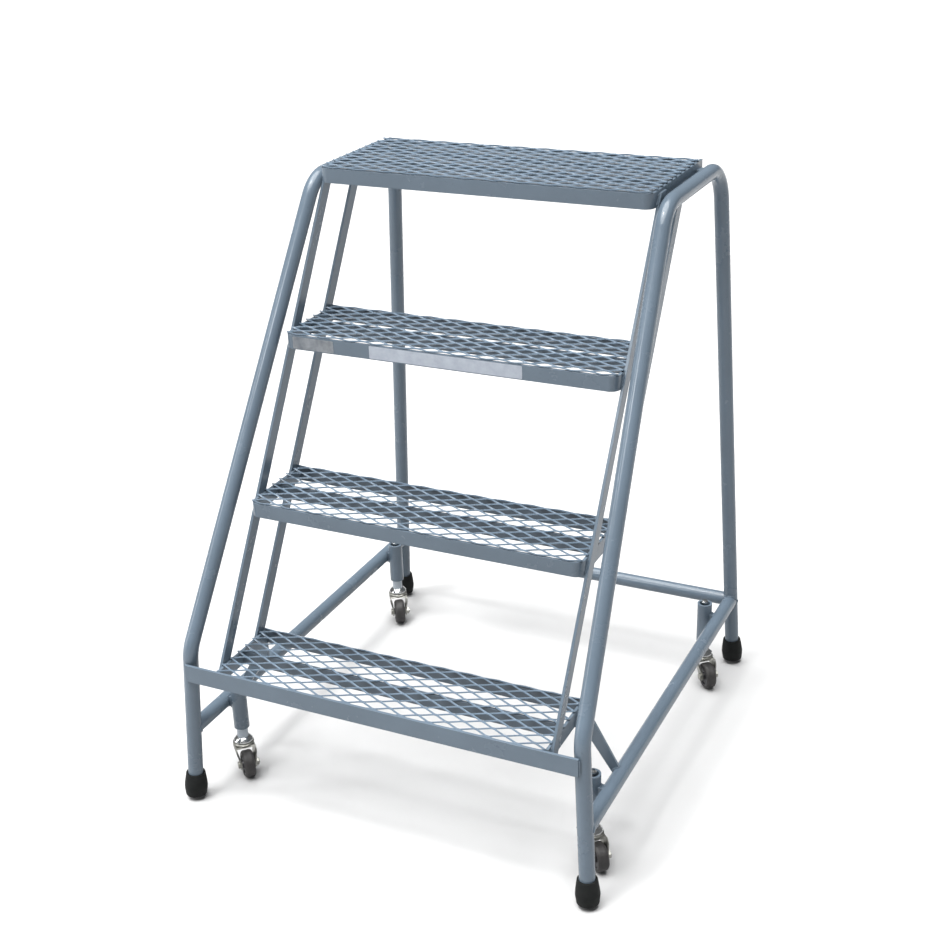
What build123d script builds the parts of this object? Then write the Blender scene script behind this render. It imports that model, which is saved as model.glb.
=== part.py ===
from build123d import *
from math import atan, cos, degrees, radians, sin, sqrt, tan
import os

# Rolling warehouse ladder: four steps, welded steel, four sprung swivel casters.
# Units are millimetres.  +Z is up, the climbing side faces -Y, +X is the right
# hand side seen from the front.  The floor is z = 0 with the casters carrying
# the ladder, so the rubber tips hover above the floor by tip_clearance.

# ---------------------------------------------------------------- dimensions
tip_clearance = 8.0
rise = 254.0
step_run = 153.0
step_count = 4
step_width = 609.6
step_depth = 165.0
platform_depth = 247.0
platform_bar_overhang = 16.0
front_face_y = -404.7
platform_bar_top_z = 1033.4

flat_t = 4.76
flat_h = 25.4
front_bar_h = 31.75
front_bar_top_z = 277.8
frame_corner_r = 16.0

mesh_t = 5.0
mesh_long_pitch = 50.8
mesh_short_pitch = 23.5
mesh_strand = 3.0
mesh_corner_r = 14.0
mesh_rear_gap = 3.0

tube_od = 26.7
tube_wall = 2.0
tube_bend_r = 65.0
splay_deg = 2.9
top_run_z = 1014.2
front_foot_y = -402.4
front_knee_y = -389.2
front_knee_z = 298.2
front_slope = 0.64
rear_foot_y = 402.2
rear_lean = 0.0354
base_tube_z = 141.5
base_tube_od = 26.7
foot_plug_z = 10.0

stringer_h = 22.2
stringer_slope = 0.613
front_stringer_setback = 25.9
rear_stringer_gap = 110.0
stringer_bottom_z = 246.0
front_stringer_top_z = 1029.0
rear_stringer_top_z = 1015.0
spacer_y = 280.0
spacer_length = 22.0
spacer_h = 16.0

brace_w = 22.2
brace_front_y = -240.6
brace_top_z = 262.0

tip_top_r = 16.8
tip_wide_r = 20.4
tip_base_r = 18.8
tip_wide_z = 16.0
tip_h = 43.0

socket_od = 28.0
socket_id = 20.1
socket_bottom_z = 90.0
socket_top_z = 173.0
socket_seat_z = 152.0
socket_seat_t = 3.0
socket_seat_bore = 10.0
front_socket_y = -294.0
rear_socket_y = 310.0
socket_weld_gap = 0.05
gusset_w = 14.0
gusset_h = 20.0

sleeve_od = 20.0
sleeve_top_z = 112.0
stem_d = 9.8
stem_cap_d = 12.4
stem_cap_bottom_z = 155.2
stem_cap_top_z = 179.5
race_top_z = 70.0
race_bottom_z = 60.4
race_r = 17.5
race_bore_clearance = 0.05
spring_mean_r = 7.6
spring_wire_r = 0.9
spring_turns = 8.0

wheel_r = 25.0
wheel_w = 20.0
tread_t = 5.0
hub_w = 23.0
hub_bore_r = 4.05
axle_r = 4.0
trail = 25.5
fork_gap = 24.4
fork_t = 2.4
crown_bottom_z = 52.6
crown_t = 2.8
shoulder_half = 18.5
shoulder_low_z = 45.0
waist_z = 33.0
crown_corner_r = 9.0
lower_race_r = 19.0
lower_race_top_z = 60.0
kingpin_r = 4.0
kingpin_bore_r = 4.05
kingpin_head_r = 6.5
kingpin_bottom_z = 50.6
nut_across = 13.0
nut_t = 5.0
bolt_head_t = 3.4

# ------------------------------------------------------------------- derived
tube_r = tube_od / 2
half_width = step_width / 2
splay = tan(radians(splay_deg))
side_top_x = half_width + flat_t + tube_r + socket_weld_gap


def side_x(z):
    """Distance of a side frame's centre plane from the middle at height z."""
    return side_top_x + (top_run_z - z) * splay


def bar_top(step):
    """Top edge of the flat bar frame of a step; step 1 is the lowest."""
    return platform_bar_top_z - rise * (step_count - step)


def step_front(step):
    """Front face of the flat bar frame of a step."""
    return front_face_y + step_run * (step - 1)


def depth_of(step):
    """Depth of the tread of a step."""
    return platform_depth if step == step_count else step_depth


def rear_leg_y(z):
    """Centre line of the rear leg at height z."""
    return rear_foot_y - rear_lean * (z - tip_clearance)


def front_leg_y(z):
    """Centre line of the short front leg at height z."""
    lean = (front_knee_y - front_foot_y) / (front_knee_z - tip_clearance)
    return front_foot_y + lean * (z - tip_clearance)


def side_point(side, y, z):
    """Point on the centre plane of a side frame."""
    return Vector(side * side_x(z), y, z)


def rod(start, end, radius):
    """Solid cylinder between two points."""
    axis = end - start
    return extrude(Plane(origin=start, z_dir=axis) * Circle(radius), amount=axis.length)


def pipe(start, end, outer, wall):
    """Hollow cylinder between two points."""
    return rod(start, end, outer) - rod(start, end, outer - wall)


def block(x0, x1, y0, y1, z0, z1):
    """Box from its two extreme corners."""
    size = (x1 - x0, y1 - y0, z1 - z0)
    centre = ((x0 + x1) / 2, (y0 + y1) / 2, (z0 + z1) / 2)
    return Pos(*centre) * Box(*size)


def mirrored(side, x0, x1, y0, y1, z0, z1):
    """Box on the right hand side, or its mirror image on the left."""
    if side > 0:
        return block(x0, x1, y0, y1, z0, z1)
    return block(-x1, -x0, y0, y1, z0, z1)


# --------------------------------------------------------------- side frames
def side_plane(side):
    """Working plane of a side frame: local x runs rearward, local y up the splay."""
    origin = side_point(side, 0, tip_clearance)
    tilt = radians(splay_deg)
    normal = Vector(cos(tilt), 0, side * sin(tilt))
    return Plane(origin=origin, x_dir=(0, 1, 0), z_dir=normal)


def along_splay(z):
    """Distance up the splayed plane of a height z."""
    return (z - tip_clearance) / cos(radians(splay_deg))


def side_path(side):
    """Centre line of the bent side tube, from front foot to rear foot."""
    top_front_y = front_knee_y + front_slope * (top_run_z - front_knee_z)
    points = [
        (front_leg_y(tip_clearance + foot_plug_z), along_splay(tip_clearance + foot_plug_z)),
        (front_knee_y, along_splay(front_knee_z)),
        (top_front_y, along_splay(top_run_z)),
        (rear_leg_y(top_run_z), along_splay(top_run_z)),
        (rear_leg_y(tip_clearance + foot_plug_z), along_splay(tip_clearance + foot_plug_z)),
    ]
    return side_plane(side) * FilletPolyline(*points, radius=tube_bend_r)


def side_tube(side):
    """One continuous bent tube: front leg, rail, top run and rear leg."""
    path = side_path(side)
    start = path @ 0
    heading = path % 0
    section = Plane(origin=start, z_dir=heading)
    outer = sweep(section * Circle(tube_r), path=path)
    inner = sweep(section * Circle(tube_r - tube_wall), path=path)
    return outer - inner


def base_line(side):
    """Ends of the low side rail on the two leg centre lines."""
    front = side_point(side, front_leg_y(base_tube_z), base_tube_z)
    rear = side_point(side, rear_leg_y(base_tube_z), base_tube_z)
    return front, rear


def leg_core(side, rear):
    """Solid envelope of a straight leg, used to cope the tubes meeting it."""
    low = tip_clearance
    high = 2 * base_tube_z
    place = rear_leg_y if rear else front_leg_y
    return rod(side_point(side, place(low), low), side_point(side, place(high), high), tube_r)


def side_rail(side):
    """Low rail between front leg and rear leg, coped to both."""
    front, rear = base_line(side)
    rail = pipe(front, rear, base_tube_od / 2, tube_wall)
    rail = rail - leg_core(side, False) - leg_core(side, True)
    return max(rail.solids(), key=lambda piece: piece.volume)


def rear_cross_tube():
    """Low tube between the two rear legs, coped to both."""
    left = side_point(-1, rear_leg_y(base_tube_z), base_tube_z)
    right = side_point(1, rear_leg_y(base_tube_z), base_tube_z)
    tube = pipe(left, right, base_tube_od / 2, tube_wall)
    tube = tube - leg_core(-1, True) - leg_core(1, True)
    for side in (-1, 1):
        front, rear = base_line(side)
        tube = tube - rod(front, rear, base_tube_od / 2)
    return max(tube.solids(), key=lambda piece: piece.volume)


# --------------------------------------------------------------------- steps
def front_bar():
    """Full width flat bar across the two front legs, ahead of the lowest tread."""
    half = side_x(bar_top(1))
    low = front_bar_top_z - front_bar_h
    bar = block(-half, half, front_face_y - flat_t, front_face_y, low, front_bar_top_z)
    return bar - leg_core(-1, False) - leg_core(1, False)


def frame_outline(front, rear, half, corner):
    """U shape in plan: straight sides, rounded front corners, open at the rear."""
    outer = Polyline((-half, rear), (-half, front), (half, front), (half, rear), (-half, rear))
    face = make_face(outer)
    corners = face.vertices().group_by(Axis.Y)[0]
    return fillet(corners, corner)


def step_frame(step):
    """Flat bar bent to a U and set on edge."""
    front = step_front(step)
    rear = front + depth_of(step)
    if step == step_count:
        rear = rear + platform_bar_overhang
    outer = frame_outline(front, rear, half_width, frame_corner_r)
    inner_half = half_width - flat_t
    inner_corner = frame_corner_r - flat_t
    inner = frame_outline(front + flat_t, rear + flat_t, inner_half, inner_corner)
    top = bar_top(step)
    shape = extrude(Pos(0, 0, top - flat_h) * (outer - inner), amount=flat_h)
    if step == step_count:
        for side in (-1, 1):
            tab = mirrored(
                side,
                half_width - 0.2,
                side_x(top_run_z),
                spacer_y,
                spacer_y + spacer_length,
                top_run_z - spacer_h / 2,
                top_run_z + spacer_h / 2,
            )
            ahead = side_point(side, spacer_y - spacer_length, top_run_z)
            behind = side_point(side, spacer_y + 2 * spacer_length, top_run_z)
            tab = tab - rod(ahead, behind, tube_r + socket_weld_gap)
            shape = shape + min(tab.solids(), key=lambda piece: abs(piece.center().X))
    return shape


def support_positions(step):
    """Distances behind the front face of the bars carrying the tread."""
    depth = depth_of(step)
    last = depth - flat_t
    if step == step_count:
        return [depth * 0.34, depth * 0.67, last]
    return [depth * 0.5, last]


def support_bars(step):
    """Flat bars on edge under the tread, welded between the frame sides."""
    top = bar_top(step)
    half = half_width - flat_t
    bars = []
    for offset in support_positions(step):
        y = step_front(step) + offset
        bars.append(block(-half, half, y, y + flat_t, top - flat_h, top))
    return Compound(children=bars)


def diamond(x, y):
    """Opening of the expanded metal."""
    slope = atan(mesh_short_pitch / mesh_long_pitch)
    half_x = mesh_long_pitch / 2 - mesh_strand / 2 / sin(slope)
    half_y = mesh_short_pitch / 2 - mesh_strand / 2 / cos(slope)
    opening = Polyline((-half_x, 0), (0, -half_y), (half_x, 0), (0, half_y), (-half_x, 0))
    return Pos(x, y) * make_face(opening)


def tread(step):
    """Expanded metal panel lying on the frame and on the support bars."""
    front = step_front(step)
    rear = front + depth_of(step) - mesh_rear_gap
    panel = frame_outline(front, rear, half_width, mesh_corner_r)
    row_pitch = mesh_short_pitch / 2
    rows = round(depth_of(step) / row_pitch)
    columns = round(step_width / mesh_long_pitch)
    openings = []
    for row in range(rows + 1):
        shift = 0.5 * (row % 2)
        for column in range(columns + 1):
            x = (column + shift - columns / 2) * mesh_long_pitch
            openings.append(diamond(x, front + row * row_pitch))
    lattice = panel - openings
    face = max(lattice.faces(), key=lambda piece: piece.area)
    return extrude(Pos(0, 0, bar_top(step)) * face, amount=mesh_t)


def stringer_line_y(z):
    """Front edge of the front stringers at height z."""
    start = front_face_y + front_stringer_setback
    return start + stringer_slope * (z - bar_top(1))


def stringer(side, offset, top_z):
    """Slim flat bar tying the steps together, on the outer faces of their sides."""
    depth = stringer_h * sqrt(1 + stringer_slope ** 2)
    low = stringer_line_y(stringer_bottom_z) + offset
    high = stringer_line_y(top_z) + offset
    outline = Polyline(
        (low, stringer_bottom_z),
        (low + depth, stringer_bottom_z),
        (high + depth, top_z),
        (high, top_z),
        (low, stringer_bottom_z),
    )
    inner_x = half_width if side > 0 else -half_width - flat_t
    plane = Plane(origin=(inner_x, 0, 0), x_dir=(0, 1, 0), z_dir=(1, 0, 0))
    return extrude(plane * make_face(outline), amount=flat_t)


def brace(side):
    """Flat bar from the rear corner of the lowest step out to the side rail."""
    rail_x = side_x(base_tube_z)
    run = rail_x - half_width
    drop = brace_top_z - base_tube_z
    length = sqrt(run ** 2 + drop ** 2)
    across_x = brace_w * length / drop
    outline = Polyline(
        (half_width, brace_top_z),
        (half_width, brace_top_z - brace_w * length / run),
        (rail_x - across_x / 2, base_tube_z),
        (rail_x + across_x / 4, base_tube_z),
        (half_width, brace_top_z),
    )
    plane = Plane(origin=(0, brace_front_y, 0), x_dir=(1, 0, 0), z_dir=(0, -1, 0))
    shape = extrude(plane * make_face(outline), amount=-flat_t)
    if side < 0:
        shape = mirror(shape, about=Plane.YZ)
    front, rear = base_line(side)
    shape = shape - rod(front, rear, base_tube_od / 2)
    return max(shape.solids(), key=lambda piece: piece.volume)


# ---------------------------------------------------------------------- tips
def rubber_tip(side, rear):
    """Moulded rubber cup pushed over the end of a leg, flat underneath."""
    place = rear_leg_y if rear else front_leg_y
    low = side_point(side, place(tip_clearance), tip_clearance)
    high = side_point(side, place(tip_clearance + tip_h), tip_clearance + tip_h)
    axis = (high - low).normalized()
    profile = Polyline(
        (0, -3),
        (tip_base_r - 1.5, -3),
        (tip_base_r, 1),
        (tip_wide_r - 0.4, tip_wide_z - 5),
        (tip_wide_r, tip_wide_z),
        (tip_wide_r - 0.7, tip_wide_z + 8),
        (tip_top_r + 0.6, tip_h - 3),
        (tip_top_r, tip_h),
        (0, tip_h),
        (0, -3),
    )
    body = revolve(Plane.XZ * make_face(profile), axis=Axis.Z)
    body = Plane(origin=low, z_dir=axis) * body
    leg = rod(low + axis * foot_plug_z, high + axis * tip_h, tube_r)
    below = block(
        low.X - 60,
        low.X + 60,
        low.Y - 60,
        low.Y + 60,
        tip_clearance - 20,
        tip_clearance,
    )
    return body - leg - below


# ------------------------------------------------------------------- casters
def socket_x(side):
    """Axis of the caster socket, tangent to the inner side of the side rail."""
    return side * (side_x(base_tube_z) - base_tube_od / 2 - socket_od / 2 - socket_weld_gap)


def socket_tube(side, y):
    """Thick walled guide tube with an inner seat for the spring and a weld gusset."""
    x = socket_x(side)
    low = Vector(x, y, socket_bottom_z)
    high = Vector(x, y, socket_top_z)
    tube = rod(low, high, socket_od / 2)
    rail_x = side * side_x(base_tube_z)
    z0 = base_tube_z - gusset_h / 2
    z1 = base_tube_z + gusset_h / 2
    gusset = block(min(x, rail_x), max(x, rail_x), y - gusset_w / 2, y + gusset_w / 2, z0, z1)
    front, rear = base_line(side)
    gusset = gusset - rod(front, rear, base_tube_od / 2)
    nearest = min(gusset.solids(), key=lambda piece: abs(piece.center().X))
    tube = tube + nearest
    seat_low = Vector(x, y, socket_seat_z)
    seat_high = Vector(x, y, socket_seat_z + socket_seat_t)
    tube = tube - rod(low, seat_low, socket_id / 2)
    tube = tube - rod(seat_high, high, socket_id / 2)
    return tube - rod(seat_low, seat_high, socket_seat_bore / 2)


def sleeve(x, y):
    """Grey spacer sleeve sliding in the socket and carrying the spring."""
    low = Vector(x, y, race_top_z)
    high = Vector(x, y, sleeve_top_z)
    return rod(low, high, sleeve_od / 2) - rod(low, high, stem_d / 2)


def plunger_stem(x, y):
    """Plunger rod with its domed end cap and the domed upper race of the swivel."""
    rod_part = rod(Vector(x, y, race_bottom_z), Vector(x, y, stem_cap_bottom_z), stem_d / 2)
    dome_start = stem_cap_top_z - 2.5
    cap_profile = Polyline(
        (0, stem_cap_bottom_z),
        (stem_cap_d / 2, stem_cap_bottom_z),
        (stem_cap_d / 2, dome_start),
        (stem_cap_d / 2 - 1.2, dome_start + 1.7),
        (0, stem_cap_top_z),
        (0, stem_cap_bottom_z),
    )
    race_profile = Polyline(
        (0, race_bottom_z),
        (race_r - 3.0, race_bottom_z),
        (race_r, race_bottom_z + 1.8),
        (race_r, race_bottom_z + 3.2),
        (race_r - 1.0, race_bottom_z + 4.6),
        (race_r - 4.0, race_top_z - 2.0),
        (race_r - 6.5, race_top_z),
        (0, race_top_z),
        (0, race_bottom_z),
    )
    cap = revolve(Plane.XZ * make_face(cap_profile), axis=Axis.Z)
    race = revolve(Plane.XZ * make_face(race_profile), axis=Axis.Z)
    pin_bore = Pos(0, 0, race_bottom_z + 1.5) * Cylinder(kingpin_bore_r, 9.0)
    head = Pos(x, y, 0) * (cap + race)
    return rod_part + head - Pos(x, y, 0) * pin_bore


def coil_spring(x, y):
    """Compression spring between the sleeve and the seat in the socket."""
    low = sleeve_top_z + spring_wire_r
    high = socket_seat_z - spring_wire_r
    pitch = (high - low) / spring_turns
    path = Helix(pitch=pitch, height=high - low, radius=spring_mean_r)
    section = Plane(origin=path @ 0, z_dir=path % 0) * Circle(spring_wire_r)
    wire = sweep(section, path=path, is_frenet=True)
    return Pos(x, y, low) * wire


def fork(x, y, heading):
    """Pressed fork with the lower race and the kingpin; heading is its trail direction."""
    inner = fork_gap / 2
    outer = inner + fork_t
    shoulder_in = shoulder_half - fork_t
    crown_top = crown_bottom_z + crown_t
    section = Polyline(
        (outer, 0),
        (outer, waist_z),
        (shoulder_half, shoulder_low_z),
        (shoulder_half, crown_top - 2.4),
        (shoulder_half - 2.0, crown_top),
        (-shoulder_half + 2.0, crown_top),
        (-shoulder_half, crown_top - 2.4),
        (-shoulder_half, shoulder_low_z),
        (-outer, waist_z),
        (-outer, 0),
        (-inner, 0),
        (-inner, waist_z + 0.5),
        (-shoulder_in, shoulder_low_z + 0.5),
        (-shoulder_in, crown_bottom_z),
        (shoulder_in, crown_bottom_z),
        (shoulder_in, shoulder_low_z + 0.5),
        (inner, waist_z + 0.5),
        (inner, 0),
        (outer, 0),
    )
    side_outline = Polyline(
        (-17.0, crown_top),
        (16.0, crown_top),
        (21.0, crown_top - 5.0),
        (trail + 8.5, wheel_r + 6.0),
        (trail + 8.0, wheel_r - 3.5),
        (trail + 4.5, wheel_r - 8.0),
        (trail - 4.5, wheel_r - 8.0),
        (trail - 9.0, wheel_r - 2.5),
        (1.0, crown_bottom_z - 14.0),
        (-14.0, crown_bottom_z - 7.5),
        (-17.0, crown_bottom_z - 4.0),
        (-17.0, crown_top),
    )
    folded = extrude(Plane.YZ * make_face(section), amount=60, both=True)
    trimmed = extrude(Plane.XZ * make_face(side_outline), amount=30, both=True)
    plan = Pos(11.5, 0, 30) * Box(57, 2 * shoulder_half, 80)
    plan = fillet(plan.edges().filter_by(Axis.Z), crown_corner_r)
    shell = folded & trimmed & plan
    race_profile = Polyline(
        (0, crown_bottom_z),
        (lower_race_r - 4.0, crown_bottom_z),
        (lower_race_r - 4.0, crown_top),
        (lower_race_r - 0.8, crown_top + 0.4),
        (lower_race_r, crown_top + 1.4),
        (lower_race_r, crown_top + 2.4),
        (lower_race_r - 4.5, lower_race_top_z),
        (0, lower_race_top_z),
        (0, crown_bottom_z),
    )
    race = revolve(Plane.XZ * make_face(race_profile), axis=Axis.Z)
    pin = Pos(0, 0, lower_race_top_z) * Cylinder(kingpin_r, 9.0)
    pin_head = Pos(0, 0, kingpin_bottom_z + 1.2) * Cylinder(kingpin_head_r, 2.4)
    axle_bore = Pos(trail, 0, wheel_r) * Rot(90, 0, 0) * Cylinder(axle_r, 4 * fork_gap)
    shape = shell + race + pin + pin_head - axle_bore
    return Pos(x, y, 0) * Rot(0, 0, heading) * shape


def axle(x, y, heading):
    """Axle bolt with a round head on one side and a hexagon nut on the other."""
    half = fork_gap / 2 + fork_t
    shank = Rot(90, 0, 0) * Cylinder(axle_r, 2 * half)
    head = Pos(0, -half - bolt_head_t / 2, 0) * Rot(90, 0, 0) * Cylinder(6.4, bolt_head_t)
    stub = Pos(0, half + nut_t / 2 + 0.8, 0) * Rot(90, 0, 0) * Cylinder(axle_r, nut_t + 1.6)
    hexagon = RegularPolygon(nut_across / 2, 6, major_radius=False)
    nut = extrude(Plane(origin=(0, half, 0), z_dir=(0, 1, 0)) * hexagon, amount=nut_t)
    shape = Pos(trail, 0, wheel_r) * (shank + head + stub + nut)
    return Pos(x, y, 0) * Rot(0, 0, heading) * shape


def wheel_solid(x, y, heading, profile):
    """Turned piece of the wheel, given as radius and width pairs."""
    face = make_face(Polyline(*profile))
    turned = revolve(Plane.XZ * face, axis=Axis.Z)
    return Pos(x, y, 0) * Rot(0, 0, heading) * Pos(trail, 0, wheel_r) * Rot(90, 0, 0) * turned


def hub(x, y, heading):
    """Moulded wheel centre with a raised boss around the axle."""
    core = wheel_r - tread_t
    half = wheel_w / 2
    boss = hub_w / 2
    profile = [
        (hub_bore_r, -boss),
        (7.0, -boss),
        (8.0, -half + 3.0),
        (core - 3.5, -half + 3.0),
        (core - 2.5, -half + 0.8),
        (core, -half + 0.8),
        (core, half - 0.8),
        (core - 2.5, half - 0.8),
        (core - 3.5, half - 3.0),
        (8.0, half - 3.0),
        (7.0, boss),
        (hub_bore_r, boss),
        (hub_bore_r, -boss),
    ]
    return wheel_solid(x, y, heading, profile)


def tyre(x, y, heading):
    """Grey tread ring around the wheel centre."""
    core = wheel_r - tread_t
    half = wheel_w / 2
    profile = [
        (core, -half + 0.8),
        (core + 1.0, -half),
        (wheel_r - 2.6, -half + 0.6),
        (wheel_r - 0.7, -half + 2.6),
        (wheel_r, -half + 5.0),
        (wheel_r, half - 5.0),
        (wheel_r - 0.7, half - 2.6),
        (wheel_r - 2.6, half - 0.6),
        (core + 1.0, half),
        (core, half - 0.8),
        (core, -half + 0.8),
    ]
    return wheel_solid(x, y, heading, profile)


# -------------------------------------------------------------------- export
os.makedirs("parts", exist_ok=True)
sides = {"left": -1, "right": 1}

for name, side in sides.items():
    export_step(side_tube(side), f"parts/side_tube_{name}.step")
    export_step(side_rail(side), f"parts/base_rail_{name}.step")
    export_step(brace(side), f"parts/step_brace_{name}.step")
    export_step(stringer(side, 0, front_stringer_top_z), f"parts/stringer_front_{name}.step")
    rear_stringer = stringer(side, rear_stringer_gap, rear_stringer_top_z)
    export_step(rear_stringer, f"parts/stringer_rear_{name}.step")

export_step(rear_cross_tube(), "parts/base_cross_tube.step")
export_step(front_bar(), "parts/front_bar.step")

for step in range(1, step_count + 1):
    export_step(step_frame(step), f"parts/step_frame_{step}.step")
    export_step(support_bars(step), f"parts/support_bars_{step}.step")
    export_step(tread(step), f"parts/tread_{step}.step")

# Trail direction of each swivel at rest, in degrees from +X.
headings = {"front_left": -45.0, "rear_left": -57.0, "front_right": -45.0, "rear_right": -50.0}

for corner, heading in headings.items():
    end, hand = corner.split("_")
    side = sides[hand]
    rear = end == "rear"
    y = rear_socket_y if rear else front_socket_y
    x = socket_x(side)
    export_step(rubber_tip(side, rear), f"parts/tip_{corner}.step")
    export_step(socket_tube(side, y), f"parts/socket_{corner}.step")
    export_step(sleeve(x, y), f"parts/sleeve_{corner}.step")
    export_step(plunger_stem(x, y), f"parts/stem_{corner}.step")
    export_step(coil_spring(x, y), f"parts/spring_{corner}.step")
    export_step(fork(x, y, heading), f"parts/fork_{corner}.step")
    export_step(axle(x, y, heading), f"parts/axle_{corner}.step")
    export_step(hub(x, y, heading), f"parts/hub_{corner}.step")
    export_step(tyre(x, y, heading), f"parts/tyre_{corner}.step")
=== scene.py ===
"""Looks of the rolling warehouse ladder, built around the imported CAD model."""

import math

import bmesh
import bpy
from mathutils import Matrix, Vector


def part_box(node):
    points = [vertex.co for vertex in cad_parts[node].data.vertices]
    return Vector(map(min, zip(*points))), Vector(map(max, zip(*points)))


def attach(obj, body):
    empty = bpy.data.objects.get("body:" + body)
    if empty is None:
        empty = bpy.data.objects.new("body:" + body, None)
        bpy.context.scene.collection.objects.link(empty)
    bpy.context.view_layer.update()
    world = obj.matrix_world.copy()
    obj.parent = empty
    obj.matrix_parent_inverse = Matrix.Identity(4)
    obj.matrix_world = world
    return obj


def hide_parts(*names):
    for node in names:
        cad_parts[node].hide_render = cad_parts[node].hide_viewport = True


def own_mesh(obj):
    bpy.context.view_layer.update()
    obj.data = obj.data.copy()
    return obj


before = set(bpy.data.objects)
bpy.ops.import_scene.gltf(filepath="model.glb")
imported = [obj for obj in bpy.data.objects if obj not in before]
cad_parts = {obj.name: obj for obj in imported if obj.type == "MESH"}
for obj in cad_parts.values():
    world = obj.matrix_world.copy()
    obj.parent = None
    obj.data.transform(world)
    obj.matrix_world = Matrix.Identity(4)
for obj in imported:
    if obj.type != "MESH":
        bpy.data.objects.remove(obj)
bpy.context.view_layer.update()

BASE = "ladder_frame"
CORNERS = ("front_left", "front_right", "rear_left", "rear_right")
MM = 0.001

# Sizes shared with the CAD model, in metres.
TUBE_R = 13.35 * MM
BAR_H = 25.4 * MM
SPLAY = math.tan(math.radians(2.9))
TOP_RUN_Z = 1014.2 * MM
TOP_RUN_X = (304.8 + 4.76 + 13.35 + 0.05) * MM
BASE_Z = 141.5 * MM
HALF_WIDTH = 304.8 * MM
PLATFORM_TOP_Z = 1033.4 * MM
STEP_COUNT = 4
STEP_RISE = 254.0 * MM
STEP_RUN = 153.0 * MM
FRONT_FACE_Y = -404.7 * MM
FOOT_Z = 8.0 * MM
REAR_FOOT_Y = 402.2 * MM
REAR_LEAN = 0.0354
FRONT_FOOT_Y = -402.4 * MM
FRONT_LEAN = 0.04549
SOCKET_R = 14.0 * MM


def side_x(z):
    """Distance of a side tube's centre plane from the middle at height z."""
    return TOP_RUN_X + (TOP_RUN_Z - z) * SPLAY


def rear_leg_y(z):
    """Centre line of a rear leg at height z."""
    return REAR_FOOT_Y - REAR_LEAN * (z - FOOT_Z)


def front_leg_y(z):
    """Centre line of a front leg at height z."""
    return FRONT_FOOT_Y + FRONT_LEAN * (z - FOOT_Z)


def step_top(step):
    """Top edge of the flat bar frame of a step."""
    return PLATFORM_TOP_Z - STEP_RISE * (STEP_COUNT - step)


def step_front(step):
    """Front face of the flat bar frame of a step."""
    return FRONT_FACE_Y + STEP_RUN * (step - 1)


# ------------------------------------------------------------------ node trees
class Tree:
    """Short way to wire up a material."""

    def __init__(self, name):
        self.material = bpy.data.materials.new(name)
        self.material.use_nodes = True
        self.nodes = self.material.node_tree.nodes
        self.links = self.material.node_tree.links
        self.shader = self.nodes["Principled BSDF"]
        self.coords = self.nodes.new("ShaderNodeTexCoord").outputs["Object"]

    def set(self, **values):
        for key, value in values.items():
            self.shader.inputs[key.replace("_", " ")].default_value = value

    def plug(self, source, target):
        self.links.new(source, target)

    def noise(self, scale, detail=4.0, roughness=0.6, stretch=None):
        node = self.nodes.new("ShaderNodeTexNoise")
        node.inputs["Scale"].default_value = scale
        node.inputs["Detail"].default_value = detail
        node.inputs["Roughness"].default_value = roughness
        if stretch:
            mapping = self.nodes.new("ShaderNodeMapping")
            mapping.inputs["Scale"].default_value = stretch
            self.plug(self.coords, mapping.inputs["Vector"])
            self.plug(mapping.outputs["Vector"], node.inputs["Vector"])
        else:
            self.plug(self.coords, node.inputs["Vector"])
        return node.outputs["Fac"]

    def speckle(self, scale):
        node = self.nodes.new("ShaderNodeTexVoronoi")
        node.inputs["Scale"].default_value = scale
        self.plug(self.coords, node.inputs["Vector"])
        return node.outputs["Distance"]

    def ramp(self, source, stops):
        node = self.nodes.new("ShaderNodeValToRGB")
        ramp = node.color_ramp
        while len(ramp.elements) < len(stops):
            ramp.elements.new(0.5)
        for element, (position, colour) in zip(ramp.elements, stops):
            element.position = position
            if isinstance(colour, (int, float)):
                colour = (colour, colour, colour)
            element.color = (*colour, 1.0)
        self.plug(source, node.inputs["Fac"])
        return node.outputs["Color"]

    def blend(self, mode, factor, first, second):
        node = self.nodes.new("ShaderNodeMix")
        node.data_type = "RGBA"
        node.blend_type = mode
        if isinstance(factor, (int, float)):
            node.inputs["Factor"].default_value = factor
        else:
            self.plug(factor, node.inputs["Factor"])
        for socket, value in ((node.inputs["A"], first), (node.inputs["B"], second)):
            if isinstance(value, tuple):
                socket.default_value = (*value, 1.0)
            else:
                self.plug(value, socket)
        return node.outputs["Result"]

    def bump(self, height, strength, distance, below=None):
        node = self.nodes.new("ShaderNodeBump")
        node.inputs["Strength"].default_value = strength
        node.inputs["Distance"].default_value = distance
        self.plug(height, node.inputs["Height"])
        if below is not None:
            self.plug(below, node.inputs["Normal"])
        return node.outputs["Normal"]

    def rounded(self, radius):
        """Shading normal of an edge worn round, used under the bumps."""
        node = self.nodes.new("ShaderNodeBevel")
        node.samples = 4
        node.inputs["Radius"].default_value = radius
        return node.outputs["Normal"]


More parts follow.
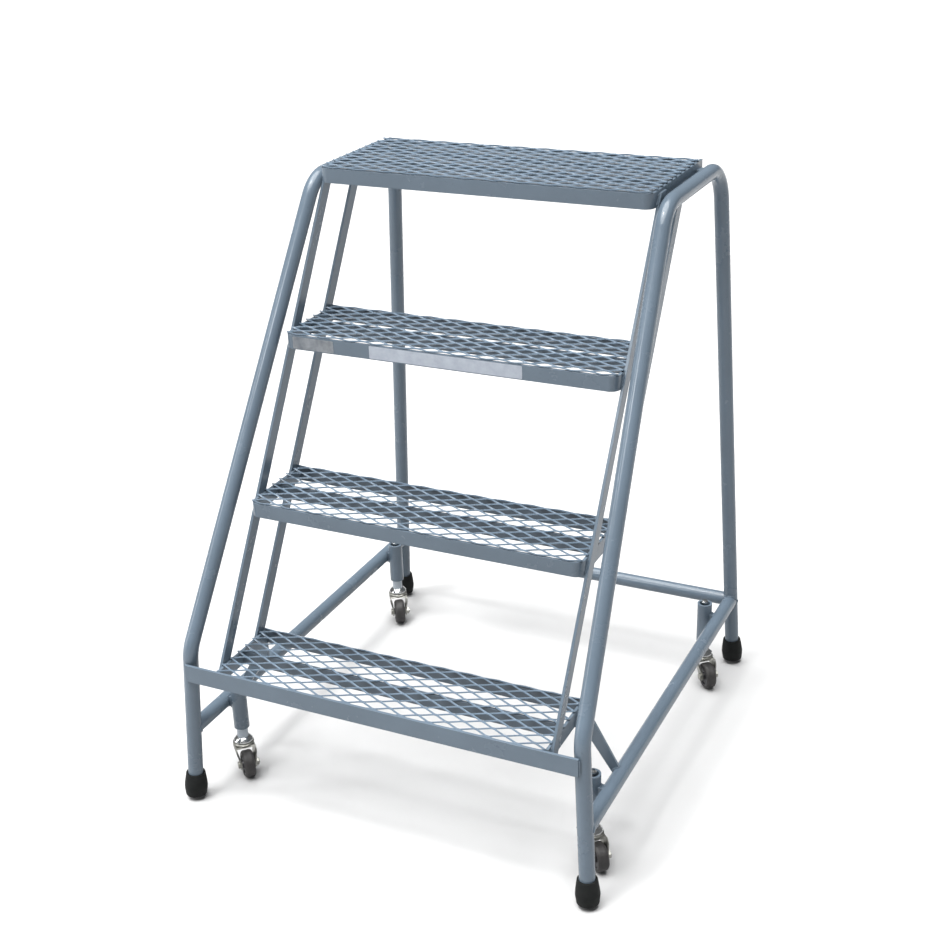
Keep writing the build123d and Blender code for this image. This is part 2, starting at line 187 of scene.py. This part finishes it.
def enamel(name, deep, light, wear, gloss):
    """Glossy blue-grey enamel: slow tone drift, orange peel, faint scuffs and worn edges."""
    tree = Tree(name)
    drift = tree.ramp(tree.noise(3.2, 5.0, 0.55), ((0.30, deep), (0.72, light)))
    cloud = tree.ramp(tree.noise(26.0, 6.0, 0.62), ((0.35, 0.92), (0.68, 1.0)))
    colour = tree.blend("MULTIPLY", 0.55, drift, cloud)
    scuffs = tree.ramp(tree.noise(320.0, 3.0, 0.6, (0.25, 1.0, 1.6)), ((0.66, 0.0), (0.90, 0.6)))
    colour = tree.blend("MIX", scuffs, colour, tuple(min(1.0, 1.15 * v) for v in light))
    grime = tree.ramp(tree.noise(210.0, 2.0, 0.5), ((0.66, 0.0), (0.80, wear)))
    colour = tree.blend("MIX", grime, colour, tuple(0.55 * v for v in deep))
    tree.plug(colour, tree.shader.inputs["Base Color"])
    rough = tree.ramp(tree.noise(14.0, 5.0, 0.6), ((0.28, gloss), (0.74, gloss + 0.15)))
    tree.plug(rough, tree.shader.inputs["Roughness"])
    peel = tree.bump(tree.noise(520.0, 2.0, 0.5), 0.10, 0.0004, tree.rounded(0.0009))
    runs = tree.bump(tree.noise(45.0, 3.0, 0.5), 0.10, 0.002, peel)
    tree.plug(runs, tree.shader.inputs["Normal"])
    tree.set(Metallic=0.0, IOR=1.38, Coat_Weight=0.10, Coat_Roughness=0.12)
    return tree.material


def plated(name, base, tint, low, high, grain=340.0):
    """Zinc plate: cool and warm patches, crystalline speckle, fine handling marks."""
    tree = Tree(name)
    patch = tree.ramp(tree.noise(70.0, 5.0, 0.6), ((0.34, base), (0.70, tint)))
    specks = tree.ramp(tree.speckle(900.0), ((0.0, 0.82), (0.6, 1.0)))
    colour = tree.blend("MULTIPLY", 0.6, patch, specks)
    grime = tree.ramp(tree.noise(120.0, 4.0, 0.7), ((0.58, 0.0), (0.76, 0.6)))
    colour = tree.blend("MIX", grime, colour, (0.10, 0.095, 0.085))
    tree.plug(colour, tree.shader.inputs["Base Color"])
    rough = tree.ramp(tree.noise(160.0, 4.0, 0.6), ((0.30, low), (0.72, high)))
    tree.plug(rough, tree.shader.inputs["Roughness"])
    tree.plug(tree.bump(tree.noise(grain * 2, 3.0, 0.6), 0.18, 0.0003), tree.shader.inputs["Normal"])
    tree.set(Metallic=1.0)
    return tree.material


def moulded(name, dark, pale, low, high, dust=0.0, grain=900.0, bump=0.25, ior=1.42):
    """Moulded rubber or plastic: grain, slight colour drift and settled dust."""
    tree = Tree(name)
    body = tree.ramp(tree.noise(60.0, 5.0, 0.6), ((0.32, dark), (0.72, pale)))
    if dust:
        film = tree.ramp(tree.noise(34.0, 6.0, 0.7), ((0.46, 0.0), (0.80, dust)))
        body = tree.blend("MIX", film, body, (0.20, 0.19, 0.175))
    tree.plug(body, tree.shader.inputs["Base Color"])
    rough = tree.ramp(tree.noise(120.0, 4.0, 0.6), ((0.30, low), (0.72, high)))
    tree.plug(rough, tree.shader.inputs["Roughness"])
    fine = tree.bump(tree.noise(grain, 3.0, 0.6), bump, 0.0004)
    tree.plug(tree.bump(tree.speckle(grain * 0.7), bump * 0.4, 0.0003, fine), tree.shader.inputs["Normal"])
    tree.set(Metallic=0.0, IOR=ior)
    return tree.material


PAINT = enamel("blue_grey_enamel", (0.088, 0.116, 0.146), (0.106, 0.140, 0.177), 0.30, 0.17)
# The treads take a lighter, bluer copy of the frame enamel: painted light standing in for their lit tops.
MESH_ENAMEL_PAINTED_LIGHT = enamel(
    "blue_grey_enamel_mesh_painted_light", (0.118, 0.162, 0.212), (0.150, 0.203, 0.262), 0.25, 0.17
)
# The support bars under the treads take a darker copy of the enamel: painted shade for the shadow they sit
# in.
UNDER_ENAMEL_PAINTED_SHADE = enamel("blue_grey_enamel_under_painted_shade", (0.048, 0.064, 0.082), (0.062, 0.082, 0.105), 0.30, 0.30)
ZINC = plated("zinc_plate_fork", (0.22, 0.22, 0.20), (0.40, 0.395, 0.365), 0.32, 0.52)
BRIGHT = plated("zinc_plate_bright", (0.55, 0.56, 0.56), (0.76, 0.77, 0.77), 0.12, 0.28)
SPRING = plated("spring_wire", (0.20, 0.20, 0.20), (0.34, 0.34, 0.335), 0.30, 0.50)
SLEEVE = moulded("sleeve_grey", (0.34, 0.385, 0.435), (0.43, 0.48, 0.53), 0.30, 0.46, 0.10)
TIP = moulded("tip_rubber_black", (0.004, 0.005, 0.005), (0.009, 0.010, 0.010), 0.60, 0.80, 0.03, ior=1.26)
HUB = moulded("hub_black", (0.014, 0.014, 0.016), (0.032, 0.032, 0.036), 0.28, 0.46, 0.20)
LABEL = moulded("label_vinyl", (0.28, 0.31, 0.36), (0.36, 0.39, 0.44), 0.32, 0.50, 0.12)
FADED = moulded("label_faded", (0.10, 0.115, 0.135), (0.22, 0.235, 0.25), 0.40, 0.58, 0.25)
TYRE = moulded("tyre_grey", (0.020, 0.019, 0.019), (0.040, 0.038, 0.038), 0.40, 0.60, 0.16, ior=1.38)


# -------------------------------------------------------------- mesh utilities
def add_piece(name, bm, material, body, smooth_angle=35.0, bevel=0.0, segments=2):
    """Turns a bmesh into a piece that rides on a CAD body."""
    bmesh.ops.remove_doubles(bm, verts=bm.verts, dist=1e-7)
    bmesh.ops.recalc_face_normals(bm, faces=bm.faces)
    mesh = bpy.data.meshes.new(name)
    bm.to_mesh(mesh)
    bm.free()
    mesh.materials.append(material)
    mesh.shade_smooth()
    mesh.set_sharp_from_angle(angle=math.radians(smooth_angle))
    piece = bpy.data.objects.new(name, mesh)
    bpy.context.scene.collection.objects.link(piece)
    if bevel:
        modifier = piece.modifiers.new("rounded_edges", "BEVEL")
        modifier.width = bevel
        modifier.segments = segments
        modifier.limit_method = "ANGLE"
        modifier.angle_limit = math.radians(32.0)
        modifier.harden_normals = True
    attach(piece, body)
    return piece


def ring_faces(bm, rings, closed=True, caps=True):
    """Skins a list of vertex rings."""
    for first, second in zip(rings, rings[1:]):
        count = len(first)
        for i in range(count if closed else count - 1):
            j = (i + 1) % count
            bm.faces.new((first[i], first[j], second[j], second[i]))
    if caps:
        bm.faces.new(rings[0][::-1])
        bm.faces.new(rings[-1])


def frames_along(points):
    """Twist-free frames along a polyline."""
    frames = []
    normal = None
    for i, point in enumerate(points):
        ahead = points[min(i + 1, len(points) - 1)]
        behind = points[max(i - 1, 0)]
        tangent = (ahead - behind).normalized()
        if normal is None:
            normal = tangent.orthogonal().normalized()
        normal = (normal - tangent * normal.dot(tangent)).normalized()
        frames.append((point, normal, tangent.cross(normal)))
    return frames


def round_ring(bm, point, normal, side, radius, sides=10):
    """Ring of vertices around a point of a path."""
    turns = [2 * math.pi * k / sides for k in range(sides)]
    return [bm.verts.new(point + (normal * math.cos(a) + side * math.sin(a)) * radius) for a in turns]


BEAD_STEP = 0.0008
RIPPLE_SPACING = 0.0024


def bead_into(bm, points, radius):
    """Weld bead along a path, with the ripples of a hand-laid run."""
    resampled = resample(points, BEAD_STEP)
    rings = []
    last = len(resampled) - 1
    for i, (point, normal, side) in enumerate(frames_along(resampled)):
        distance = i * BEAD_STEP
        wave = 0.5 + 0.5 * math.cos(2 * math.pi * distance / RIPPLE_SPACING)
        wander = 0.10 * math.sin(distance * 310.0 + points[0].x * 900.0 + points[0].z * 700.0)
        taper = min(1.0, 0.35 + min(i, last - i) * 0.22)
        r = radius * taper * (0.86 + 0.16 * wave + wander)
        rings.append(round_ring(bm, point, normal, side, r))
    ring_faces(bm, rings)


def resample(points, step):
    """Evenly spaced points along a polyline."""
    result = [points[0].copy()]
    carried = 0.0
    for start, end in zip(points, points[1:]):
        length = (end - start).length
        if length == 0:
            continue
        position = step - carried
        while position <= length:
            result.append(start.lerp(end, position / length))
            position += step
        carried = length - (position - step)
    return result


# -------------------------------------------------------------- expanded metal
LONG_PITCH = 50.8 * MM
ROW = 11.75 * MM
STRAND_W = 3.0 * MM
STRAND_T = 2.6 * MM
BOND = 4.5 * MM
TILT = math.radians(-25.0)
CORNER_R = 14.0 * MM
EDGE_GAP = 0.1 * MM
RIM = 2.4 * MM


def expanded_metal(step):
    """Raised expanded metal panel: zigzag strands joined at bonds that face the rear."""
    node = f"tread_{step}"
    low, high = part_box(node)
    front, rear = low[1], high[1]
    middle = (low[2] + high[2]) / 2
    half = (high[0] - low[0]) / 2
    rows = round((rear - front) / ROW) + 1
    across = Vector((0, math.cos(TILT), math.sin(TILT)))
    normal = Vector((0, -math.sin(TILT), math.cos(TILT)))
    stations = round(half / (LONG_PITCH / 2))
    bm = bmesh.new()
    for row in range(rows):
        path = []
        for j in range(-stations, stations + 1):
            at_front = (j + row) % 2 == 1
            bond_row = row if at_front else row + 1
            sign = 1 if at_front else -1
            shared = 0 < bond_row < rows
            for end in (-1, 1):
                x = j * LONG_PITCH / 2 + end * BOND / 2
                x = max(-half + 0.0002, min(half - 0.0002, x))
                centre = Vector((x, front + (bond_row - 0.5) * ROW, middle)) + across * sign * STRAND_W / 2
                path.append((centre, sign, shared, j))
        rings = []
        for centre, sign, shared, j in path:
            ring = []
            for a, b in ((-1, -1), (1, -1), (1, 1), (-1, 1)):
                corner = centre + across * a * STRAND_W / 2 + normal * b * STRAND_T / 2
                ahead = front + (EDGE_GAP if a < 0 else RIM)
                behind = rear - (RIM if a < 0 else EDGE_GAP)
                corner.y = min(max(corner.y, ahead), behind)
                reach = half - CORNER_R
                if abs(corner.x) > reach and corner.y < front + CORNER_R:
                    pivot = Vector((math.copysign(reach, corner.x), front + CORNER_R))
                    offset = Vector((corner.x, corner.y)) - pivot
                    if offset.length > CORNER_R:
                        offset = offset.normalized() * CORNER_R
                        corner.x, corner.y = pivot.x + offset.x, pivot.y + offset.y
                ring.append(bm.verts.new(corner))
            rings.append(ring)
        for i in range(len(rings) - 1):
            first, second = rings[i], rings[i + 1]
            inside = path[i][3] == path[i + 1][3] and path[i][2]
            sign = path[i][1]
            for k in range(4):
                if inside and ((sign > 0 and k == 3) or (sign < 0 and k == 1)):
                    continue
                m = (k + 1) % 4
                bm.faces.new((first[k], first[m], second[m], second[k]))
        bm.faces.new(rings[0][::-1])
        bm.faces.new(rings[-1])
    # The tread mesh takes the lighter enamel copy: painted light on its lit tops.
    piece = add_piece(f"expanded_metal_{step}", bm, MESH_ENAMEL_PAINTED_LIGHT, BASE, 40.0, 0.0007)
    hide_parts(node)
    return piece


for step in range(1, STEP_COUNT + 1):
    expanded_metal(step)

# ----------------------------------------------------------------------- welds
RAIL_X = side_x(BASE_Z)
BEAD_R = 1.7 * MM
WELD_PROUD = 0.4 * MM


def weld(name, runs, radius=BEAD_R):
    """One piece holding several beads, laid on both sides of the ladder."""
    bm = bmesh.new()
    for points in runs:
        for side in (-1, 1):
            bead_into(bm, [Vector((side * x, y, z)) for x, y, z in points], radius)
    add_piece(name, bm, PAINT, BASE, 60.0)


def saddle(point):
    """Closed seam where one tube is coped to another; point maps cosine and sine."""
    turns = [2 * math.pi * i / 48 - math.pi / 2 for i in range(49)]
    reach = TUBE_R + WELD_PROUD
    return [point(reach * math.cos(a), reach * math.sin(a)) for a in turns]


front_y = front_leg_y(BASE_Z)
rear_y = rear_leg_y(BASE_Z)
weld("weld_rail_front", [saddle(lambda c, s: (RAIL_X + c, front_y + abs(s), BASE_Z + s))])
weld("weld_rail_rear", [saddle(lambda c, s: (RAIL_X + c, rear_y - abs(s), BASE_Z + s))])
weld("weld_cross_tube", [saddle(lambda c, s: (RAIL_X - abs(s), rear_y + c, BASE_Z + s))])

bar_low, bar_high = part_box("front_bar")
bar_run = [
    (bar_high[0] + 0.6 * MM, bar_high[1] - 1.6 * MM, z)
    for z in (bar_low[2] + 1.5 * MM, bar_high[2] - 1.5 * MM)
]
weld("weld_front_bar", [bar_run], 2.0 * MM)


STRINGER_FRONT_Y = -378.8 * MM
STRINGER_SLOPE = 0.613
STRINGER_FROM_Z = 271.4 * MM
STRINGERS = ((0.0, 1029.0 * MM), (110.0 * MM, 1015.0 * MM))
STRINGER_EDGES = (-0.6 * MM, 26.6 * MM)
SEAM_END = 1.5 * MM


def stringer_runs():
    """Short seams down both edges of each stringer, on the sides of every step."""
    runs = []
    for step in range(1, STEP_COUNT + 1):
        for gap, top in STRINGERS:
            for edge in STRINGER_EDGES:
                low = step_top(step) - BAR_H + SEAM_END
                high = min(step_top(step), top) - SEAM_END
                ends = []
                for z in (low, high):
                    y = STRINGER_FRONT_Y + gap + STRINGER_SLOPE * (z - STRINGER_FROM_Z) + edge
                    ends.append((HALF_WIDTH + 0.5 * MM, y, z))
                if ends[1][1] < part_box(f"step_frame_{step}")[1][1] - 1.0 * MM:
                    runs.append(ends)
    return runs


weld("weld_stringers", stringer_runs(), 1.5 * MM)


def brace_runs():
    """Seams of the braces on the rail and on the side of the lowest step."""
    runs = []
    for y in (-240.9 * MM, -235.5 * MM):
        arc = [math.radians(a) for a in range(97, 175, 3)]
        reach = TUBE_R + WELD_PROUD
        runs.append([(RAIL_X + reach * math.cos(a), y, BASE_Z + reach * math.sin(a)) for a in arc])
        runs.append([(HALF_WIDTH + 0.5 * MM, y, z) for z in (0.2475, 0.2600)])
    return runs


weld("weld_braces", brace_runs())


def socket_runs():
    """Seams around the gussets that hold the caster sockets to the rails."""
    runs = []
    for corner in ("front_right", "rear_right"):
        low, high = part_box(f"socket_{corner}")
        x, y = low[0] + SOCKET_R, (low[1] + high[1]) / 2
        for z in (BASE_Z - 10.4 * MM, BASE_Z + 10.4 * MM):
            arc = [math.radians(a) for a in range(-34, 35, 4)]
            reach = SOCKET_R + WELD_PROUD
            runs.append([(x + reach * math.cos(a), y + reach * math.sin(a), z) for a in arc])
            rail = RAIL_X - 8.0 * MM
            runs.append([(rail, y - 7.5 * MM, z), (rail, y + 7.5 * MM, z)])
    return runs


weld("weld_sockets", socket_runs())


# --------------------------------------------------------------------- springs
WIRE_R = 0.9 * MM
TURNS = 8
POINTS_PER_TURN = 36


def coil(corner):
    """Round wire helix between the spring's seat and top, at its rest length."""
    node = f"spring_{corner}"
    low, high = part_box(node)
    x, y = (low[0] + high[0]) / 2, (low[1] + high[1]) / 2
    radius = (high[0] - low[0]) / 2 - WIRE_R
    bottom = low[2] + WIRE_R + 0.15 * MM
    top = high[2] - WIRE_R
    points = []
    for i in range(TURNS * POINTS_PER_TURN + 1):
        angle = 2 * math.pi * i / POINTS_PER_TURN
        z = bottom + (top - bottom) * i / (TURNS * POINTS_PER_TURN)
        points.append(Vector((x + radius * math.cos(angle), y + radius * math.sin(angle), z)))
    bm = bmesh.new()
    rings = [round_ring(bm, *place, WIRE_R) for place in frames_along(points)]
    ring_faces(bm, rings)
    piece = add_piece(f"coil_spring_{corner}", bm, SPRING, BASE, 60.0)
    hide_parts(node)
    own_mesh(piece)


for corner in CORNERS:
    coil(corner)


# ----------------------------------------------------------------------- label
def blank_label(name, material, x_range, z_range, face_y, corner=2.0 * MM, thickness=0.25 * MM):
    """Unprinted vinyl strip with rounded corners on the front of a step."""
    bm = bmesh.new()
    outline = []
    for x, z, first in (
        (x_range[1] - corner, z_range[1] - corner, 0),
        (x_range[0] + corner, z_range[1] - corner, 90),
        (x_range[0] + corner, z_range[0] + corner, 180),
        (x_range[1] - corner, z_range[0] + corner, 270),
    ):
        for turn in range(0, 91, 15):
            a = math.radians(first + turn)
            outline.append((x + corner * math.cos(a), z + corner * math.sin(a)))
    rings = [
        [bm.verts.new((x, y, z)) for x, z in outline]
        for y in (face_y, face_y - thickness)
    ]
    ring_faces(bm, rings)
    add_piece(name, bm, material, BASE, 40.0)


blank_label("blank_label_wide", LABEL, (-0.1385, 0.1422), (0.7555, 0.7780), step_front(3))
blank_label("blank_label_faded", FADED, (-0.2880, -0.2080), (0.7555, 0.7770), step_front(3))

# ------------------------------------------------------------------- materials
PAINTED = ("side_tube", "base_", "step_", "stringer", "front_bar", "socket", "tread")
NODE_MATERIALS = {
    # The support bars get the darker enamel copy: painted shade.
    "support_bars": UNDER_ENAMEL_PAINTED_SHADE,
    "tip": TIP,
    "sleeve": SLEEVE,
    "stem": BRIGHT,
    "spring": SPRING,
    "fork": ZINC,
    "axle": ZINC,
    "hub": HUB,
    "tyre": TYRE,
}

for node_name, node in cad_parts.items():
    material = PAINT if node_name.startswith(PAINTED) else None
    for prefix, candidate in NODE_MATERIALS.items():
        if node_name.startswith(prefix + "_"):
            material = candidate
    for slot in node.material_slots:
        slot.material = material

# ----------------------------------------------------------------------- stage
def pale_floor(name, size, z):
    """Plain pale floor."""
    bm = bmesh.new()
    bmesh.ops.create_grid(bm, x_segments=24, y_segments=24, size=size)
    mesh = bpy.data.meshes.new(name)
    bm.to_mesh(mesh)
    bm.free()
    floor = bpy.data.objects.new(name, mesh)
    floor.location.z = z
    bpy.context.scene.collection.objects.link(floor)
    tree = Tree("studio_floor")
    tone = tree.ramp(tree.noise(0.8, 2.0, 0.5), ((0.3, 0.44), (0.7, 0.46)))
    tree.plug(tone, tree.shader.inputs["Base Color"])
    tree.set(Roughness=0.8)
    mesh.materials.append(tree.material)


FLOOR_HALF_SIZE = 30.0
FLOOR_BELOW = 0.4 * MM
pale_floor("studio_floor", FLOOR_HALF_SIZE, -FLOOR_BELOW)

world = bpy.data.worlds.new("studio")
bpy.context.scene.world = world
world.use_nodes = True
background = world.node_tree.nodes["Background"]
background.inputs["Color"].default_value = (0.96, 0.98, 1.0, 1.0)
background.inputs["Strength"].default_value = 0.17

# The backdrop is plain white to the eye and dim as a light.
world_nodes = world.node_tree.nodes
world_links = world.node_tree.links
backdrop = world_nodes.new("ShaderNodeBackground")
backdrop.inputs["Color"].default_value = (1.0, 1.0, 1.0, 1.0)
light_path = world_nodes.new("ShaderNodeLightPath")
either = world_nodes.new("ShaderNodeMixShader")
world_links.new(light_path.outputs["Is Camera Ray"], either.inputs["Fac"])
world_links.new(background.outputs["Background"], either.inputs[1])
world_links.new(backdrop.outputs["Background"], either.inputs[2])
world_links.new(either.outputs["Shader"], world_nodes["World Output"].inputs["Surface"])


def area_light(name, place, aim, size, power):
    data = bpy.data.lights.new(name, "AREA")
    data.shape = "RECTANGLE"
    data.size, data.size_y = size
    data.energy = power
    light = bpy.data.objects.new(name, data)
    light.location = place
    direction = Vector(aim) - Vector(place)
    light.rotation_euler = direction.to_track_quat("-Z", "Y").to_euler()
    bpy.context.scene.collection.objects.link(light)


def sun_light(name, direction, angle, strength):
    data = bpy.data.lights.new(name, "SUN")
    data.angle = math.radians(angle)
    data.energy = strength
    light = bpy.data.objects.new(name, data)
    light.rotation_euler = Vector(direction).to_track_quat("-Z", "Y").to_euler()
    bpy.context.scene.collection.objects.link(light)


sun_light("overhead_silk", (0.10, 0.08, -1.0), 60.0, 7.4)
sun_light("glint", (0.20, 0.25, -1.0), 8.0, 1.1)
area_light("left_strip", (-3.2, -2.0, 1.6), (0, 0, 0.5), (0.22, 2.6), 44.0)
area_light("front_softbox", (-1.2, -2.6, 3.0), (0, 0, 0.6), (0.5, 0.5), 26.0)

# ---------------------------------------------------------------------- camera
CAMERA_AT = Vector((1.06831, -2.19334, 1.62468))
CAMERA_RIGHT = Vector((0.90517724, 0.423952, -0.03031275))
CAMERA_UP = Vector((-0.14993572, 0.38523209, 0.91055781))
CAMERA_FORWARD = Vector((-0.39771024, 0.81967124, -0.41226887))
FOCAL_IN_FRAMES = 1515.679 / 950.0

camera_data = bpy.data.cameras.new("camera")
camera_data.sensor_width = 36.0
camera_data.lens = 36.0 * FOCAL_IN_FRAMES
camera_data.clip_end = 100.0
camera = bpy.data.objects.new("camera", camera_data)
rotation = Matrix((CAMERA_RIGHT, CAMERA_UP, -CAMERA_FORWARD)).transposed()
camera.matrix_world = Matrix.Translation(CAMERA_AT) @ rotation.to_4x4()
bpy.context.scene.collection.objects.link(camera)
bpy.context.scene.camera = camera
bpy.context.scene.view_settings.view_transform = "Standard"
